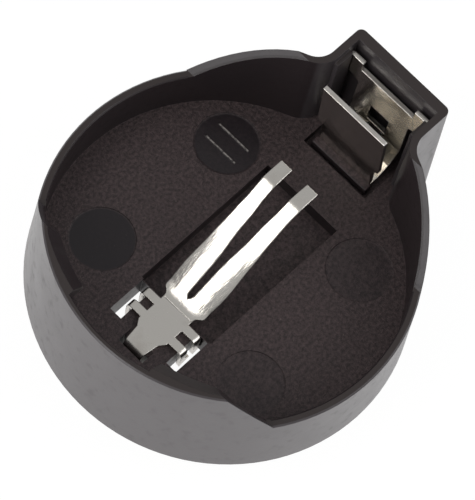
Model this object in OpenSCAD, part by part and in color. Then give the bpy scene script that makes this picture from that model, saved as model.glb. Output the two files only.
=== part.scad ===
// Coin cell holder for one 20 mm cell: a moulded cup with a nose, and two
// folded sheet contacts that are soldered to a circuit board.
// X runs toward the nose, Z is up, and the board face is Z = 0 under the
// middle of the cup.

/* [Cup] */
// bore that takes the cell
bore_d = 20.9; // [20.3:0.1:23]
// wall at its top edge
wall_t = 0.36; // [0.3:0.02:1]
// taper of the outer walls, in degrees
draft = 1.8; // [0:0.1:3]
// height of the back wall and of the nose
end_h = 9.15; // [7:0.05:12]
// height of the two side walls
side_h = 5.2; // [3:0.05:7]
// height of the floor that the cell lies over
floor_h = 1.8; // [1.4:0.05:3]
// small chamfer along the wall tops
rim_c = 0.1; // [0.04:0.02:0.3]
// chamfer under the cup
foot_c = 0.2; // [0:0.05:0.5]

/* [Wall steps] */
// half length of the low side wall toward the back
back_x = 5.95; // [3:0.05:8]
// steepness of the step up to the back wall
back_ang = 61; // [40:1:80]
// half length of the low side wall toward the nose
front_x = 5.85; // [3:0.05:8]
// steepness of the rise up to the nose
front_ang = 46; // [30:1:70]

/* [Nose] */
// outer width at the top
nose_w = 7; // [6:0.1:9]
// reach of the nose beyond the cup's wall, at the top
nose_len = 2.59; // [2:0.1:5]
// side walls of the nose
nose_wall = 0.45; // [0.3:0.05:1]
// end wall of the nose
end_wall = 0.65; // [0.4:0.05:1.2]
// round of the outer corners
nose_r = 0.9; // [0.4:0.1:1.5]
// round where the nose meets the cup
throat_r = 1.3; // [0.8:0.1:2.5]
// depth of the guide ribs that keep the plate in its grooves
rib_t = 0.25; // [0.1:0.05:0.4]

/* [Snap lips] */
// how far a lip reaches in at its thick end
lip_reach = 1.02; // [0.4:0.02:1.5]
// depth of the lips below the wall top
lip_h = 1.15; // [0.6:0.05:2]
// straight edge of a lip under its lead-in slope
lip_edge = 0.35; // [0.2:0.05:0.8]
// gap between the two lips, across the back
lip_gap = 6.1; // [3:0.1:10]
// how far forward the lips' inner curve is centred
lip_shift = 2.8; // [1:0.1:4]

/* [Floor] */
// depth of the recess under the fingers
recess_d = 1.1; // [0.4:0.05:1.2]
// width of the recess
recess_w = 5.5; // [4:0.1:7]
// nose end of the recess
recess_x1 = 6.5; // [5:0.1:7.5]
// back end of the recess
recess_x0 = -3.7; // [-5:0.1:-3]
// back end of the contact pocket
pocket_x0 = -6.35; // [-7:0.05:-5]
// width of the contact pocket
pocket_w = 5.2; // [4.6:0.1:6]
// diameter of the four ejector marks
mark_d = 3.9; // [2:0.1:5]
// depth of the ejector marks
mark_depth = 0.06; // [0.02:0.02:0.2]

/* [Sheet contacts] */
// sheet of the negative contact
neg_t = 0.25; // [0.15:0.05:0.4]
// sheet of the positive contact
pos_t = 0.28; // [0.15:0.01:0.4]
// clearance round the pins and plates
fit = 0.1; // [0.04:0.02:0.3]
// solder pins below the board face
pin_len = 3; // [2:0.1:4]
// width of the solder pins
pin_w = 0.9; // [0.6:0.05:1.2]
// middle of the negative pin behind the middle of the cup
neg_pin_x = 7.1; // [6.8:0.05:7.6]
// half width of the negative base plate
base_hw = 1.1; // [0.9:0.05:1.3]
// start of the fingers' rise
root_x = -3.6; // [-4:0.05:-3]
// crest where the fingers level off
crest_x = 4; // [3:0.1:5]
// top of the fingers above the board
crest_h = 6.4; // [4.6:0.1:7]
// length of the level finger tips
tip_len = 1.4; // [0.8:0.1:2]
// outer edge of the fingers at the crest
finger_out = 1.4; // [1.2:0.05:1.8]
// inner edge of the fingers at the crest
finger_in = 0.6; // [0.3:0.05:0.9]
// front plate width
front_w = 4.74; // [4:0.02:5.4]
// top of the front plate below the wall top
front_drop = 0.35; // [0:0.05:2]
// lean of the front plate toward the cell
front_lean = 0.75; // [0:0.05:1.2]
// top edge of the back plate, between its ears, below the wall top
back_drop = 1.65; // [0.8:0.05:3]
// height of the ears above that edge
ear_h = 0.75; // [0.3:0.05:1]

/* [Hidden] */
$fn = 96;
e = 0.01;
k = tan(draft);
bore_r = bore_d / 2;
rim_r = bore_r + wall_t;                    // outer wall at the top
nose_end = rim_r + nose_len;                // end face at the top
lip_z = end_h - lip_h;                      // underside of the lips
front_h = end_h - front_drop;
back_h = end_h - back_drop;
foot_r = rim_r + k * end_h;                 // outer wall at the board
side_r = rim_r + k * (end_h - side_h);      // outer wall at the low tops
in_w = nose_w / 2 - nose_wall;              // half width inside the nose
in_end = nose_end - end_wall;               // end face inside the nose
lip_r = bore_r - lip_reach + lip_shift * cos(asin(lip_gap / 2 / bore_r));
plate_x = in_end - fit - 0.17 - pos_t / 2;  // middle of the back plate
hem_z = floor_h - pos_t / 2;                // upper layer of the hem
sole_z = hem_z - pos_t - 0.06;              // lower layer of the hem
pit_z = sole_z - pos_t / 2;                 // seat of the positive contact
front_x0 = bore_r - 0.35;                   // foot of the front plate
hem_x = front_x0 - 0.5;                     // fold of the hem
pit_x0 = hem_x - pos_t - 0.2;
base_top = floor_h + 0.05;
rise = atan((crest_h - base_top) / (crest_x - root_x));
slant = (crest_x - root_x) / cos(rise);
front_top_x = front_x0 - front_lean;
bend_z = 2.85;                              // where the back plate turns
slot_x1 = recess_x0 - 0.05;                 // nose end of the barb slots
barb_y = 2.16;                              // outer face of the barbs

// centre of a round that touches a circle of radius r and a line at y = w
function throat(r, w, f) = [sqrt(pow(r + f, 2) - pow(w + f, 2)), w + f];

// fills the corner between a circle and a straight side, with a round
module throat_fill(r, w, f0, f1, h) {
    c = throat(r, w, f1);
    for (s = [0, 1]) mirror([0, s, 0]) difference() {
        linear_extrude(h) polygon([
            c * ((r - 0.3) / norm(c)), c, [c[0], w - 0.2],
            [sqrt(r * r - w * w) - 0.3, w - 0.3]]);
        translate([c[0], c[1], -e]) cylinder(h = h + 2 * e, r1 = f0, r2 = f1);
    }
}

// the outer form: tapered cup and nose, every round tangent at each height
module outer_form() {
    hw = nose_w / 2;
    cone = k * end_h;
    cylinder(h = end_h, r1 = foot_r, r2 = rim_r, $fn = 180);
    rotate([90, 0, 90]) linear_extrude(nose_end - nose_r)
        polygon([[-hw - cone, 0], [hw + cone, 0], [hw, end_h], [-hw, end_h]]);
    translate([0, hw - nose_r, 0]) rotate([90, 0, 0])
        linear_extrude(nose_w - 2 * nose_r)
        polygon([[0, 0], [nose_end + cone, 0], [nose_end, end_h], [0, end_h]]);
    for (s = [-1, 1]) translate([nose_end - nose_r, s * (hw - nose_r), 0])
        cylinder(h = end_h, r1 = nose_r + cone, r2 = nose_r);
    throat_fill(rim_r, hw, throat_r - cone, throat_r, end_h);
}

// the open inside, above the floor
module inner_form() {
    h = end_h - floor_h + 1;
    f = throat_r + wall_t;
    translate([0, 0, floor_h]) {
        cylinder(h = h, r = bore_r, $fn = 180);
        translate([0, -in_w, 0]) cube([in_end, 2 * in_w, h]);
        throat_fill(bore_r, in_w, f, f, h);
    }
}

// everything above the low side walls, between the two slopes
module side_cut() {
    top = end_h + 1;
    b = (top - side_h) / tan(back_ang);
    f = (top - side_h) / tan(front_ang);
    translate([0, foot_r + 1, 0]) rotate([90, 0, 0])
        linear_extrude(2 * foot_r + 2)
        polygon([[-back_x, side_h], [front_x, side_h],
                 [front_x + f, top], [-back_x - b, top]]);
}

// chamfer along a stretch of wall top, at both of its edges
module rim_chamfer(r_out, z, a0, a1) {
    rotate([0, 0, a0]) rotate_extrude(angle = a1 - a0, $fn = 180) {
        polygon([[r_out - rim_c, z + e], [r_out + 0.2, z + e],
                 [r_out + 0.2, z - rim_c - 0.2], [r_out, z - rim_c]]);
        polygon([[bore_r - e, z + e], [bore_r + rim_c, z + e],
                 [bore_r - e, z - rim_c - e]]);
    }
}

// two crescent lips that the cell snaps under
module lips() {
    h = end_h - lip_z;
    for (s = [0, 1]) mirror([0, s, 0]) difference() {
        translate([0, 0, lip_z]) linear_extrude(h) difference() {
            intersection() {
                circle(r = bore_r + wall_t / 2, $fn = 180);
                translate([-bore_r - 1, lip_gap / 2]) square([bore_r, bore_r]);
            }
            translate([lip_shift, 0]) circle(r = lip_r, $fn = 180);
        }
        translate([lip_shift, 0, lip_z + lip_edge])
            cylinder(h = h, r1 = lip_r, r2 = lip_r + h, $fn = 180);
    }
}

// shallow round marks, one with two thin ridges standing in it
module marks() {
    for (p = [[5.72, 5.28], [-3.72, 5.9]], s = [-1, 1])
        difference() {
            translate([p[0], s * p[1], floor_h - mark_depth])
                cylinder(h = 1, d = mark_d);
            if (p[0] > 0 && s > 0) for (dx = [-0.55, 0.55])
                translate([p[0] + dx, s * p[1], floor_h - mark_depth])
                    cube([0.12, 2.45, 2 * mark_depth], center = true);
        }
}

module housing() color([0.13, 0.12, 0.12]) {
    difference() {
        outer_form();
        difference() {
            inner_form();
            // guide ribs on the side walls of the nose
            for (s = [-1, 1])
                translate([plate_x - pos_t / 2 - fit - 1.2,
                           s > 0 ? in_w - rib_t : -in_w - 1, 0])
                    cube([1.2, rib_t + 1, end_h - 0.5]);
        }
        side_cut();
        // rounded tops
        for (m = [0, 1]) mirror([0, m, 0])
            rim_chamfer(side_r, side_h, acos(front_x / side_r),
                        acos(-back_x / side_r));
        rim_chamfer(rim_r, end_h, 130, 230);
        // foot chamfer
        if (foot_c > 0) difference() {
            translate([0, 0, -e]) cylinder(h = foot_c, r = foot_r + 1, $fn = 180);
            translate([0, 0, -2 * e])
                cylinder(h = foot_c + 4 * e, r1 = foot_r - foot_c,
                         r2 = foot_r, $fn = 180);
            translate([0, -nose_w, -1]) cube([2 * nose_end, 2 * nose_w, 2]);
        }
        // recess under the fingers
        translate([recess_x0, -recess_w / 2, floor_h - recess_d])
            cube([recess_x1 - recess_x0, recess_w, recess_d + 1]);
        // pocket: a seat in the middle and a barb slot on each side
        translate([pocket_x0, -pocket_w / 2, base_top - neg_t])
            cube([recess_x0 - pocket_x0 + e, pocket_w, 2]);
        for (s = [-1, 1])
            translate([pocket_x0, s > 0 ? 1.8 : -pocket_w / 2, -1])
                cube([recess_x0 - pocket_x0 - 0.05, pocket_w / 2 - 1.8, 4]);
        // channel for the tail, and the slot for its pin
        translate([-neg_pin_x - neg_t, -0.95, base_top - neg_t])
            cube([neg_pin_x, 1.9, 2]);
        translate([-neg_pin_x - neg_t / 2 - fit, -0.95, -1])
            cube([neg_t + 2 * fit + 0.06, 1.9, 4]);
        // pit for the positive contact, and the slot for its pin
        translate([pit_x0, -2.45, pit_z])
            cube([in_end - pit_x0, 4.9, 3]);
        translate([plate_x - pos_t / 2 - fit, -pin_w / 2 - fit, -1])
            cube([pos_t + 2 * fit, pin_w + 2 * fit, 4]);
        marks();
    }
    intersection() {
        difference() { lips(); side_cut(); }
        cylinder(h = end_h, r = rim_r - e, $fn = 180);
    }
}

// a sheet seen edge-on: constant thickness along a path of [x, z] corners,
// each corner bent to the radius r on the middle line
function unit(v) = v / norm(v);
function left(v) = [-v[1], v[0]];
function turned(v, a) = [v[0] * cos(a) - v[1] * sin(a),
                         v[0] * sin(a) + v[1] * cos(a)];
function reversed(q) = [for (i = [len(q) - 1 : -1 : 0]) q[i]];

// one face of the sheet, at the distance d to the left of the middle line
function face(p, r, d, n = 4) = let (m = len(p) - 1) [
    p[0] + left(unit(p[1] - p[0])) * d,
    for (i = [1 : m - 1])
        let (a = unit(p[i] - p[i - 1]), b = unit(p[i + 1] - p[i]),
             turn = atan2(a[0] * b[1] - a[1] * b[0], a * b), s = sign(turn),
             c = p[i] - a * r * tan(abs(turn) / 2) + left(a) * r * s)
            for (j = [0 : n]) c - turned(left(a), turn * j / n) * (r * s - d),
    p[m] + left(unit(p[m] - p[m - 1])) * d];

module sheet(path, r, t, hw) {
    translate([0, hw, 0]) rotate([90, 0, 0]) linear_extrude(2 * hw)
        polygon(concat(face(path, r, t / 2), reversed(face(path, r, -t / 2))));
}

// an outline in Y and Z, drawn for one side and mirrored, cut through along X
module across(x0, x1, half) {
    translate([x0, 0, 0]) rotate([90, 0, 90]) linear_extrude(x1 - x0)
        polygon(concat(half, reversed([for (p = half) [-p[0], p[1]]])));
}

// half outline of a solder pin with a tapered end
function pin_half(w, top) = [[w / 2, top], [w / 2, 0.6 - pin_len],
                             [w / 5, -pin_len]];

// the strip outside a finger's crease, pressed down
module flange() {
    c0 = [1.1, 0.9];
    c1 = [slant * 0.72, finger_out];
    turn = atan2(c1[1] - c0[1], c1[0] - c0[0]);
    translate([root_x, 0, base_top]) rotate([0, -rise, 0])
        translate([c0[0], c0[1], -0.01]) rotate([0, 0, turn])
        rotate([-24, 0, 0]) rotate([0, 0, -turn])
        translate([-c0[0], -c0[1], -neg_t]) linear_extrude(neg_t)
        polygon([c0 - [0.05, 0.03], c1 - [0, 0.03], c1 + [0, 0.03],
                 [slant * 0.6, finger_out + 0.1], [0.9, 1.54], [0.45, 1.2]]);
}

// a tab that turns down into its slot and ends in a barb
module barb(x, reach) {
    m = base_top - neg_t / 2;
    y = barb_y - neg_t / 2;
    intersection() {
        translate([x, 0, 0]) rotate([0, 0, 90])
            sheet([[base_hw - 0.2, m], [y, m], [y, 0.2]], 0.2, neg_t, reach);
        translate([x, 0, 0]) rotate([90, 0, 0]) translate([0, 0, -3])
            linear_extrude(3) polygon([[0, 2], [0, 0.85], [0.05, 0.2],
                [reach - 0.05, 0.4], [reach, 0.52], [0.42, 0.9], [0.55, 2]]);
    }
}

module negative_contact() color([0.8, 0.79, 0.76]) {
    m = base_top - neg_t / 2;
    x = -neg_pin_x;
    intersection() {
        sheet([[x, -pin_len], [x, m], [root_x, m], [crest_x, crest_h - neg_t / 2],
               [crest_x + tip_len, crest_h - neg_t / 2 - 0.05]],
              0.25, neg_t, 2);
        union() {
            across(x - 1, x + 0.13, pin_half(1.36, m + 1));
            translate([0, 0, base_top - 0.4]) linear_extrude(crest_h) plan();
        }
    }
    for (s = [0, 1]) mirror([0, s, 0]) {
        flange();
        barb(-4.38, slot_x1 + 4.38);
        barb(-5.46, 0.8);
    }
}

// outline of the base plate and the two fingers, seen from above
module plan() {
    end = crest_x + tip_len + 1;
    for (s = [0, 1]) mirror([0, s, 0]) difference() {
        polygon([[-neg_pin_x, -e], [-neg_pin_x, 0.68], [-6, 0.82],
                 [-5.6, base_hw], [root_x + 0.4, base_hw],
                 [root_x + 1.02, 0.9], [root_x + (crest_x - root_x) * 0.72,
                 finger_out], [end, finger_out], [end, -e]]);
        polygon([[root_x + 0.75, -1], [root_x + 0.75, 0.2],
                 [crest_x, finger_in], [end + 1, finger_in], [end + 1, -1]]);
        translate([root_x + 0.75, 0]) circle(r = 0.2, $fn = 24);
    }
}

module positive_contact() color([0.8, 0.79, 0.76]) {
    hem = hem_z - sole_z;
    intersection() {
        sheet([[plate_x, back_h + ear_h], [plate_x, bend_z],
               [plate_x - 0.75, bend_z - 0.95], [plate_x - 1.6, sole_z],
               [hem_x, sole_z], [hem_x, hem_z], [front_x0, hem_z],
               [front_top_x, front_h]], hem / 2 - 0.005, pos_t, 3.2);
        difference() {
            union() {
                // front plate: a stem that widens to the head
                across(0, front_x0 + 0.4, [[1.97, 0], [1.97, 3.9],
                    [front_w / 2, 4.3], [front_w / 2, 12]]);
                // back plate, with an ear at each side of its top edge
                across(front_x0 + 0.4 - e, plate_x + 1, [[1.97, 0], [1.97, back_h - 1.4],
                    [in_w - 0.03, back_h - 1], [in_w - 0.03, 12],
                    [2.06, 12], [2, back_h]]);
            }
            // window, and the gap that the pin was cut from
            translate([plate_x - 0.5, -0.7, bend_z + 0.45]) cube([1, 1.4, 1.6]);
            translate([plate_x - 1.5, -pin_w / 2 - 0.1, 0])
                cube([2, pin_w + 0.2, bend_z + 0.2]);
        }
    }
    // solder pin, straight down from the back plate
    across(plate_x - pos_t / 2, plate_x + pos_t / 2,
           pin_half(pin_w, bend_z + 0.35));
}

housing();
negative_contact();
positive_contact();
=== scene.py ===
import math

import bpy
from mathutils import Matrix, Vector


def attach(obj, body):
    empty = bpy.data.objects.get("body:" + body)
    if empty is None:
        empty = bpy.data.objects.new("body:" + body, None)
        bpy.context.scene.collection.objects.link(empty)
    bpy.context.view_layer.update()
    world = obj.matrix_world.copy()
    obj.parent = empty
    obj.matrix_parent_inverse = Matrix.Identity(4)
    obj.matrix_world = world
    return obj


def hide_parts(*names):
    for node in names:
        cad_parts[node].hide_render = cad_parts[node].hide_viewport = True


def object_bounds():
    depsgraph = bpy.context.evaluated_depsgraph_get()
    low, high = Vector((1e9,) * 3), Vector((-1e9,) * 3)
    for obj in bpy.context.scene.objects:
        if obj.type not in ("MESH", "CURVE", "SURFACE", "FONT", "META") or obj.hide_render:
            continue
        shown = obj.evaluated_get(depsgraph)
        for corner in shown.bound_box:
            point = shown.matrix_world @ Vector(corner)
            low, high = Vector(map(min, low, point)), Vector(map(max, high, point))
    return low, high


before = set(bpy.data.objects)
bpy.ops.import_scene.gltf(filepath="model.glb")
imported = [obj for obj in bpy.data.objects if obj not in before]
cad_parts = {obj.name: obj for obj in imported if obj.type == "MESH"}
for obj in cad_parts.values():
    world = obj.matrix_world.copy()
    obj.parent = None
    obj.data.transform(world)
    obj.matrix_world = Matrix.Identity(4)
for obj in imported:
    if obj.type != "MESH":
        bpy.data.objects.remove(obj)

mm = 0.001
weld = 0.0005 * mm  # corners nearer than this become one
smoothAngle = 24  # faces that meet at less than this are shaded as one curve
cadBounds = [list(corner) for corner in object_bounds()]


class Field:
    # an output of a shader node, with arithmetic that adds the nodes it needs

    def __init__(self, shader, socket):
        self.shader = shader
        self.socket = socket

    def maths(self, operation, *others):
        return self.shader.node("ShaderNodeMath", self, *others, operation=operation)

    def __add__(self, other):
        return self.maths("ADD", other)

    def __sub__(self, other):
        return self.maths("SUBTRACT", other)

    def __mul__(self, other):
        return self.maths("MULTIPLY", other)

    def eased(self, low, high):
        return self.shader.node("ShaderNodeMapRange", self, low, high, 0.0, 1.0,
                                interpolation_type="SMOOTHSTEP")

    def flipped(self):
        return self * -1.0 + 1.0  # the rest of a mask


class Shader:
    # a material, with the place in millimetres and the way a face looks at hand

    def __init__(self, name):
        self.material = bpy.data.materials.new(name)
        self.material.use_nodes = True
        self.tree = self.material.node_tree
        self.surface = self.tree.nodes["Principled BSDF"]
        metres = self.node("ShaderNodeTexCoord", out="Object")
        self.place = self.node("ShaderNodeMapping", metres, scale=[1 / mm] * 3)
        self.x, self.y, self.z = self.split(self.place)
        self.upward = self.split(self.node("ShaderNodeNewGeometry", out="Normal"))[2]

    def node(self, kind, *values, out=0, scale=None, **settings):
        made = self.tree.nodes.new(kind)
        for key, value in settings.items():
            setattr(made, key, value)
        for socket, value in zip(made.inputs, values):
            self.give(socket, value)
        if scale is not None:
            self.give(made.inputs["Scale"], scale)
        return Field(self, made.outputs[out])

    def give(self, socket, value):
        if isinstance(value, Field):
            self.tree.links.new(value.socket, socket)
        else:
            socket.default_value = value

    def split(self, vector):
        made = self.tree.nodes.new("ShaderNodeSeparateXYZ")
        self.give(made.inputs[0], vector)
        return [Field(self, socket) for socket in made.outputs]

    def stretched(self, x, y, z):
        return self.node("ShaderNodeMapping", self.place, scale=[x, y, z])

    def noise(self, scale, detail, place=None):
        made = self.tree.nodes.new("ShaderNodeTexNoise")
        self.give(made.inputs["Vector"], place or self.place)
        self.give(made.inputs["Scale"], scale)
        self.give(made.inputs["Detail"], detail)
        return Field(self, made.outputs["Fac"])

    def cells(self, scale, out):
        made = self.tree.nodes.new("ShaderNodeTexVoronoi")
        self.give(made.inputs["Vector"], self.place)
        self.give(made.inputs["Scale"], scale)
        return Field(self, made.outputs[out])

    def mix(self, part, first, second):
        made = self.tree.nodes.new("ShaderNodeMix")
        made.data_type = "RGBA"
        self.give(made.inputs["Factor"], part)
        self.give(made.inputs[6], first)
        self.give(made.inputs[7], second)
        return Field(self, made.outputs[2])

    def within(self, value, middle, half, fade):
        return (value - middle).maths("ABSOLUTE").eased(half - fade, half + fade).flipped()

    def bump(self, height, depth, edge):
        rounded = self.tree.nodes.new("ShaderNodeBevel")  # softens each edge a little
        rounded.samples = 6
        self.give(rounded.inputs["Radius"], edge * mm)
        made = self.tree.nodes.new("ShaderNodeBump")
        self.give(made.inputs["Height"], height)
        self.give(made.inputs["Distance"], depth * mm)
        self.give(made.inputs["Normal"], Field(self, rounded.outputs[0]))
        self.give(self.surface.inputs["Normal"], Field(self, made.outputs[0]))

    def finish(self, **values):
        for name, value in values.items():
            self.give(self.surface.inputs[name.replace("_", " ")], value)
        return self.material


def colour(red, green, blue):
    return (red, green, blue, 1.0)


plastic = {
    "wall": colour(0.028, 0.021, 0.023),
    "floor": colour(0.100, 0.070, 0.072),
    "floorDark": colour(0.025, 0.017, 0.018),
    # painted shade: the smooth ejector-mark discs are coloured near black
    "markShade": colour(0.014, 0.010, 0.013),
    # painted highlight: upward-facing wall tops above the floor are coloured lighter than the
    # walls
    "rimHighlight": colour(0.040, 0.031, 0.030),
    # painted light: the outer walls are coloured lighter than the inner walls, as if lit
    "outside": colour(0.060, 0.052, 0.056),
    "dust": colour(0.26, 0.22, 0.19),
    # painted highlight along the two thin ridges on one ejector mark
    "ridgeHighlight": colour(0.40, 0.37, 0.35),
    # where one surface gives way to the next
    "level": (0.75, 0.95),
    "floorTop": (2.6, 2.9),
    "bore": (10.52, 10.62),
    # scale and detail of each noise, and the band that is used of it
    "grain": (5.0, 4.0),
    "fine": (15.0, 3.0),
    "cloud": (0.55, 3.0),
    "scuff": (1.6, 5.0),
    "fleck": (26.0, 2.0),
    "mottled": (0.42, 0.80),
    "scuffed": (0.52, 0.75),
    "flecked": (0.66, 0.76),
    "flecksIn": (0.40, 0.62),
    "speckScale": 2.3,
    "speckSize": (0.03, 0.10),
    "speckShare": (0.60, 0.64),
    # how much each one adds
    "grainTone": 0.65,
    "fineTone": 0.55,
    "speckDust": 0.5,
    "fleckDust": 0.35,
    "floorDust": 0.8,
    "anyDust": 0.2,
    "rough": 0.26,
    "floorRough": 0.24,
    "cloudRough": 0.10,
    "scuffRough": 0.10,
    "floorGrain": 0.9,
    "anyGrain": 0.06,
    "floorFine": 0.6,
    "anyFine": 0.05,
    "relief": 0.04,
    "edge": 0.05,
    "specular": 0.5,
}
# ejector marks: middle, radius and how dark and smooth each one is; the dark is painted shade,
# much stronger on the two marks on the +y side
marks = {
    "places": ((5.72, 5.28, 1.93, 0.85), (-3.72, 5.9, 1.93, 0.95),
               (5.72, -5.28, 1.93, 0.35), (-3.72, -5.9, 1.93, 0.22)),
    "inner": 0.12,
    "outer": 0.05,
}
# the two thin ridges on one of them, painted light along their crests as a highlight that grain
# noise breaks up
ridges = {
    "x": 5.72,
    "y": 5.28,
    "apart": 0.55,
    "length": (1.15, 0.05),
    "width": (0.045, 0.03),
    "glintBreaks": (0.3, 0.6),
}


def markMask(s):
    mask = 0.0
    for x, y, radius, strength in marks["places"]:
        away = ((s.x - x) * (s.x - x) + (s.y - y) * (s.y - y)).maths("SQRT")
        inside = away.eased(radius - marks["inner"], radius + marks["outer"]).flipped()
        mask = inside * strength + mask
    return mask


def blackPlastic():
    s = Shader("black_plastic")
    p = plastic
    level = s.upward.eased(*p["level"])
    low = s.z.eased(*p["floorTop"]).flipped()
    onFloor = level * low
    rimLitTop = level * low.flipped()
    radius = (s.x * s.x + s.y * s.y).maths("SQRT")
    outside = radius.eased(*p["bore"]) * level.flipped()
    smooth = markMask(s) * onFloor
    grainy = onFloor * smooth.flipped()
    grain = s.noise(*p["grain"])
    fine = s.noise(*p["fine"])
    cloud = s.noise(*p["cloud"])
    scuff = s.noise(*p["scuff"]).eased(*p["scuffed"])

    mottle = (grain * p["grainTone"] + fine * p["fineTone"]).eased(*p["mottled"])
    floorColour = s.mix(mottle, p["floorDark"], p["floor"])
    # painted shade: the ejector marks are coloured darker than the floor, most on the +y side
    floorColour = s.mix(smooth, floorColour, p["markShade"])
    # painted highlight: two thin light lines on one ejector mark, broken up by grain noise
    along = s.within(s.y, ridges["y"], *ridges["length"])
    for side in (-1, 1):
        line = s.within(s.x, ridges["x"] + side * ridges["apart"], *ridges["width"])
        glintBreaks = grain.eased(*ridges["glintBreaks"])
        floorColour = s.mix(line * along * glintBreaks, floorColour, p["ridgeHighlight"])

    # painted light: outer walls lighter than the shaded inner walls
    shade = s.mix(outside, p["wall"], p["outside"])
    # painted highlight: wall tops above the floor are made lighter than the walls
    shade = s.mix(rimLitTop, shade, p["rimHighlight"])
    shade = s.mix(onFloor, shade, floorColour)
    speck = s.cells(p["speckScale"], "Distance").eased(*p["speckSize"]).flipped()
    speck = speck * s.cells(p["speckScale"], "Color").eased(*p["speckShare"])
    flecks = s.noise(*p["fleck"]).eased(*p["flecked"]) * cloud.eased(*p["flecksIn"])
    dust = speck * p["speckDust"] + flecks * p["fleckDust"]
    shade = s.mix(dust * (grainy * p["floorDust"] + p["anyDust"]), shade, p["dust"])

    rough = (grainy * p["floorRough"] + cloud * p["cloudRough"] + scuff * p["scuffRough"]
             + p["rough"])
    height = (grain * (grainy * p["floorGrain"] + p["anyGrain"])
              + fine * (grainy * p["floorFine"] + p["anyFine"]))
    s.bump(height, p["relief"], p["edge"])
    return s.finish(Base_Color=shade, Roughness=rough, Specular_IOR_Level=p["specular"])


nickel = {
    "bright": colour(0.83, 0.80, 0.75),
    "dull": colour(0.60, 0.55, 0.49),
    "streak": (3.0, 4.0),
    "cloud": (0.8, 2.0),
    "pit": (9.0, 2.0),
    "clouded": (0.50, 0.80),
    "pitted": (0.70, 0.80),
    "cloudTone": 0.4,
    "pitTone": 0.3,
    "streakRough": 0.06,
    "cloudRough": 0.08,
    "pitRough": 0.10,
    "relief": 0.05,
    "edge": 0.07,
}


def nickelPlate(name, rough, drawn, wave, grooves):
    s = Shader(name)
    n = nickel
    streak = s.noise(*n["streak"], s.stretched(*drawn))
    cloud = s.noise(*n["cloud"])
    pits = s.noise(*n["pit"]).eased(*n["pitted"])
    tone = s.mix(cloud.eased(*n["clouded"]) * n["cloudTone"] + pits * n["pitTone"],
                 n["bright"], n["dull"])
    s.bump(streak * grooves + cloud * wave, n["relief"], n["edge"])
    dullness = streak * n["streakRough"] + cloud * n["cloudRough"] + pits * n["pitRough"]
    return s.finish(Base_Color=tone, Metallic=1.0, Roughness=dullness + rough)


def welded(piece, operator, **settings):
    # puts a piece in the scene, joins its faces, and runs one more mesh operator
    bpy.context.scene.collection.objects.link(piece)
    bpy.ops.object.select_all(action="DESELECT")
    piece.select_set(True)
    bpy.context.view_layer.objects.active = piece
    bpy.ops.object.mode_set(mode="EDIT")
    bpy.ops.mesh.select_all(action="SELECT")
    bpy.ops.mesh.remove_doubles(threshold=weld)
    operator(**settings)
    bpy.ops.object.mode_set(mode="OBJECT")


def smoothed(angle):
    bpy.ops.object.shade_smooth_by_angle(angle=math.radians(angle))


def refined(node, material):
    # a copy of a CAD piece with its faces joined and its curves shaded smooth
    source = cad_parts[node]
    piece = source.copy()
    piece.data = source.data.copy()
    piece.name = node + "_finish"
    for key in list(piece.keys()):
        del piece[key]
    piece.parent = None
    piece.matrix_world = Matrix.Identity(4)
    welded(piece, bpy.ops.mesh.customdata_custom_splitnormals_clear)
    smoothed(smoothAngle)
    for mesh in (piece.data, source.data):
        mesh.materials.clear()
        mesh.materials.append(material)
    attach(piece, "root")
    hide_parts(node)
    print("made", piece.name, len(piece.data.polygons))
    return piece


def built(name, material, corners, faces):
    # a new piece from corners in millimetres
    mesh = bpy.data.meshes.new(name)
    mesh.from_pydata([[value * mm for value in corner] for corner in corners], [], faces)
    mesh.validate()
    piece = bpy.data.objects.new(name, mesh)
    welded(piece, bpy.ops.mesh.normals_make_consistent, inside=False)
    mesh.materials.append(material)
    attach(piece, "root")
    print("made", name, len(mesh.polygons))
    return piece


def applied(piece, kind, **settings):
    made = piece.modifiers.new(kind.lower(), kind)
    for key, value in settings.items():
        setattr(made, key, value)
    bpy.context.view_layer.objects.active = piece
    bpy.ops.object.modifier_apply(modifier=made.name)


def cutAway(piece, point, normal):
    # removes what lies on the far side of a plane, and closes the cut
    bpy.context.view_layer.objects.active = piece
    bpy.ops.object.mode_set(mode="EDIT")
    bpy.ops.mesh.select_all(action="SELECT")
    bpy.ops.mesh.bisect(plane_co=[value * mm for value in point], plane_no=normal,
                        clear_outer=True, use_fill=True)
    bpy.ops.object.mode_set(mode="OBJECT")


def between(table, x):
    # a value eased between [place, value] pairs
    for (x0, y0), (x1, y1) in zip(table, table[1:]):
        if x <= x1:
            t = min(max((x - x0) / (x1 - x0), 0), 1)
            return y0 + (y1 - y0) * t * t * (3 - 2 * t)
    return table[-1][1]


black = blackPlastic()
fingerNickel = nickelPlate("nickel_fingers", rough=0.17, drawn=(0.35, 2.6, 1.0),
                           wave=0.45, grooves=0.35)
plateNickel = nickelPlate("nickel_plate", rough=0.10, drawn=(1.0, 4.0, 0.5),
                          wave=0.8, grooves=0.12)
refined("housing", black)
refined("positive_contact", plateNickel)
base = refined("negative_contact", fingerNickel)


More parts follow.
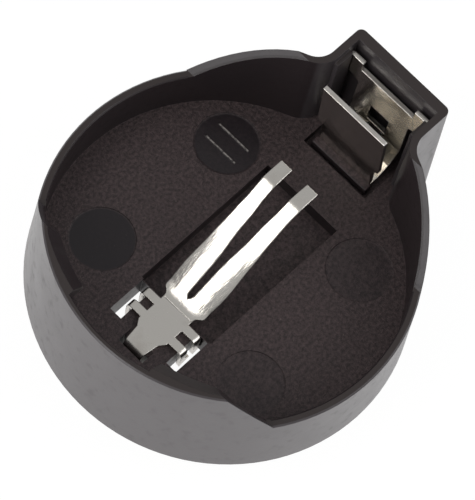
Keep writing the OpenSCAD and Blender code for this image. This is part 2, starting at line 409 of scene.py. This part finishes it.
# the fingers: creased leaves that rise from the base plate
finger = {
    "start": -3.62,
    "lap": 0.02,  # how far they reach into the base plate
    "root": -3.35,
    "crest": 4.0,
    "end": 5.38,
    "low": 1.85,
    "high": 6.38,
    "sheet": 0.25,
    "rootBend": 0.30,
    "crestBend": 0.20,
    "creaseBend": 0.10,
    "hollow": 0.11,
    "hollowFrom": -3.2,
    "hollowLength": 5,
    "middle": 0.7,
    "bevel": 0.035,
    "steps": 72,
    "strips": 12,
    "smooth": 35,
    # distances from the centre line, and how far the outer strip is pressed down
    "inner": ((-2.85, 0.0), (-2.72, 0.17), (-1.0, 0.21), (1.7, 0.43), (3.6, 0.56), (5.4, 0.58)),
    "outer": ((-3.6, 1.10), (-3.42, 1.14), (-3.05, 1.52), (-1.5, 1.60), (0.3, 1.50),
              (1.9, 1.42), (3.0, 1.40), (4.0, 1.43), (5.4, 1.43)),
    "crease": ((-3.6, 0.80), (-2.4, 0.92), (1.5, 1.10), (5.4, 1.10)),
    "press": ((-3.4, 0.0), (-2.7, 0.22), (-0.5, 0.17), (1.6, 0.0), (5.4, 0.0)),
}


def ramp(t, blend):
    # 0 before t = 0 and t after it, with a bend between them
    return (t + math.hypot(t, blend)) / 2


def fingerTop(x, y):
    f = finger
    slope = (f["high"] - f["low"]) / (f["crest"] - f["root"])
    rise = ramp(x - f["root"], f["rootBend"]) - ramp(x - f["crest"], f["crestBend"])
    pressed = ramp(y - between(f["crease"], x), f["creaseBend"]) * between(f["press"], x)
    along = min(max((x - f["hollowFrom"]) / f["hollowLength"], 0), 1)
    hollow = f["hollow"] * math.sin(math.pi * along) * (y - f["middle"]) ** 2
    return f["low"] + slope * rise - pressed - hollow


def makeFingers():
    steps, strips = finger["steps"], finger["strips"]
    start = finger["start"] - finger["lap"]
    corners, faces = [], []
    for side in (-1, 1):
        first = len(corners)
        for i in range(steps + 1):
            x = start + (finger["end"] - start) * i / steps
            inner, outer = between(finger["inner"], x), between(finger["outer"], x)
            for j in range(strips + 1):
                y = inner + (outer - inner) * j / strips
                corners.append((x, side * y, fingerTop(x, y)))
        for i in range(steps):
            for j in range(strips):
                a = first + i * (strips + 1) + j
                face = (a, a + strips + 1, a + strips + 2, a + 1)
                faces.append(face if side > 0 else face[::-1])
    piece = built("fingers", fingerNickel, corners, faces)
    applied(piece, "SOLIDIFY", thickness=finger["sheet"] * mm, offset=-1.0)
    applied(piece, "BEVEL", width=finger["bevel"] * mm, segments=2, angle_limit=math.radians(50))
    smoothed(finger["smooth"])
    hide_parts("negative_contact")


cutAway(base, (finger["start"], 0, 0), (1, 0, 0))
makeFingers()


# the nose's two sharp outer corners
nose = {
    "end": 13.398,
    "half": 3.498,
    "top": 9.148,
    "round": 0.38,
    "reach": 1.0,
    "wall": 0.44,
    "draft": 1.8,
    "steps": 8,
    "smooth": 30,
}


def noseOutline(grow):
    end, half, turn = nose["end"], nose["half"], nose["round"]
    reach, wall = nose["reach"], nose["wall"]
    points = [(end - reach, half + grow)]
    for i in range(nose["steps"] + 1):
        a = math.radians(90 - 90 * i / nose["steps"])
        points.append((end - turn + (turn + grow) * math.cos(a),
                       half - turn + (turn + grow) * math.sin(a)))
    return points + [(end + grow, half - reach), (end - wall, half - reach),
                     (end - wall, half - wall), (end - reach, half - wall)]


def makeNoseCorner(name, side):
    spread = math.tan(math.radians(nose["draft"])) * nose["top"]
    corners = [(x, side * y, 0.0) for x, y in noseOutline(spread)]
    count = len(corners)
    corners += [(x, side * y, nose["top"]) for x, y in noseOutline(0.0)]
    faces = [tuple(range(count)), tuple(range(2 * count - 1, count - 1, -1))]
    faces += [(i, (i + 1) % count, count + (i + 1) % count, count + i) for i in range(count)]
    built(name, black, corners, faces)
    smoothed(nose["smooth"])


makeNoseCorner("nose_corner_left", 1)
makeNoseCorner("nose_corner_right", -1)


# the low sill in front of the front plate
sill = {
    "back": 10.0,
    "front": 9.44,
    "half": 2.15,
    "top": 1.84,
    "bottom": 1.2,
    "bevel": 0.09,
    "smooth": 40,
}


def makeSill():
    xs, half = (sill["front"], sill["back"]), sill["half"]
    corners = [(x, y, z) for x in xs for y in (-half, half) for z in (sill["bottom"], sill["top"])]
    faces = [(0, 1, 3, 2), (4, 6, 7, 5), (0, 4, 5, 1), (2, 3, 7, 6), (0, 2, 6, 4), (1, 5, 7, 3)]
    piece = built("floor_sill", black, corners, faces)
    applied(piece, "BEVEL", width=sill["bevel"] * mm, segments=3, angle_limit=math.radians(60))
    smoothed(sill["smooth"])


makeSill()


def toward(azimuth, elevation):
    a, e = math.radians(azimuth), math.radians(elevation)
    return Vector((math.cos(e) * math.cos(a), math.cos(e) * math.sin(a), math.sin(e)))


# the floor glows a little, and the camera sees most of it as plain white
stage = {"size": 2.4, "white": 0.90, "glow": 0.55, "plain": 0.93}


def whiteFloor():
    material = bpy.data.materials.new("white_floor")
    material.use_nodes = True
    nodes, links = material.node_tree.nodes, material.node_tree.links
    nodes.clear()
    matte = nodes.new("ShaderNodeBsdfDiffuse")
    matte.inputs["Color"].default_value = colour(stage["white"], stage["white"], stage["white"])
    glow = nodes.new("ShaderNodeEmission")
    glow.inputs["Strength"].default_value = stage["glow"]
    lit = nodes.new("ShaderNodeAddShader")
    links.new(matte.outputs[0], lit.inputs[0])
    links.new(glow.outputs[0], lit.inputs[1])
    seen = nodes.new("ShaderNodeLightPath")
    part = nodes.new("ShaderNodeMath")
    part.operation = "MULTIPLY"
    part.inputs[1].default_value = stage["plain"]
    links.new(seen.outputs["Is Camera Ray"], part.inputs[0])
    both = nodes.new("ShaderNodeMixShader")
    links.new(part.outputs[0], both.inputs[0])
    links.new(lit.outputs[0], both.inputs[1])
    links.new(nodes.new("ShaderNodeEmission").outputs[0], both.inputs[2])
    links.new(both.outputs[0], nodes.new("ShaderNodeOutputMaterial").inputs[0])
    return material


lowest = cadBounds[0][2]
bpy.ops.mesh.primitive_plane_add(size=stage["size"], location=(0, 0, lowest))
ground = bpy.context.object
ground.name = "ground"
ground.data.materials.append(whiteFloor())
print("floor made")

# direction in degrees, distance and side in metres, brightness as seen in a mirror, tint
lamps = {
    "key": (162, 47, 0.36, 0.17, 3.0, (1.0, 0.975, 0.945)),
    "side": (-60, 35, 0.45, 0.30, 1.6, (1.0, 0.99, 1.0)),
    "low": (176, 14, 0.40, 0.16, 3.0, (1.0, 1.0, 1.0)),
}
for name, (azimuth, elevation, distance, side, brightness, tint) in lamps.items():
    data = bpy.data.lights.new(name, "AREA")
    data.size = side
    data.energy = brightness * math.pi * side * side
    data.color = tint
    lamp = bpy.data.objects.new(name, data)
    lamp.location = toward(azimuth, elevation) * distance
    lamp.rotation_euler = toward(azimuth, elevation).to_track_quat("Z", "Y").to_euler()
    bpy.context.scene.collection.objects.link(lamp)

sky = {"reflected": 0.40, "seen": 1.0}
world = bpy.data.worlds.new("studio")
bpy.context.scene.world = world
world.use_nodes = True
tree = world.node_tree
background = tree.nodes["Background"]
background.inputs["Color"].default_value = colour(1.0, 1.0, 1.0)
seen = tree.nodes.new("ShaderNodeLightPath")
strength = tree.nodes.new("ShaderNodeMapRange")
strength.inputs["To Min"].default_value = sky["reflected"]
strength.inputs["To Max"].default_value = sky["seen"]
tree.links.new(seen.outputs["Is Camera Ray"], strength.inputs["Value"])
tree.links.new(strength.outputs[0], background.inputs["Strength"])
print("light made")

# aim and distance in millimetres
camera = {
    "azimuth": -151.0,
    "elevation": 65.745,
    "roll": 17.12,
    "aim": (1.512, 1.607, 1.747),
    "distance": 241.47,
    "lens": 308.16,
    "sensor": 36,
    "shift": (0.0329, -0.0333),
    "clip": (0.01, 10),
}
back = toward(camera["azimuth"], camera["elevation"])
right = Vector((0, 0, 1)).cross(back).normalized()
up = back.cross(right)
roll = math.radians(camera["roll"])
across = right * math.cos(roll) + up * math.sin(roll)
upward = up * math.cos(roll) - right * math.sin(roll)
data = bpy.data.cameras.new("camera")
data.sensor_width = camera["sensor"]
data.lens = camera["lens"]
data.shift_x, data.shift_y = camera["shift"]
data.clip_start, data.clip_end = camera["clip"]
view = bpy.data.objects.new("camera", data)
view.location = (Vector(camera["aim"]) + back * camera["distance"]) * mm
view.rotation_euler = Matrix((across, upward, back)).transposed().to_euler()
bpy.context.scene.collection.objects.link(view)
bpy.context.scene.camera = view
bpy.context.scene.view_settings.view_transform = "Standard"
print("camera made")
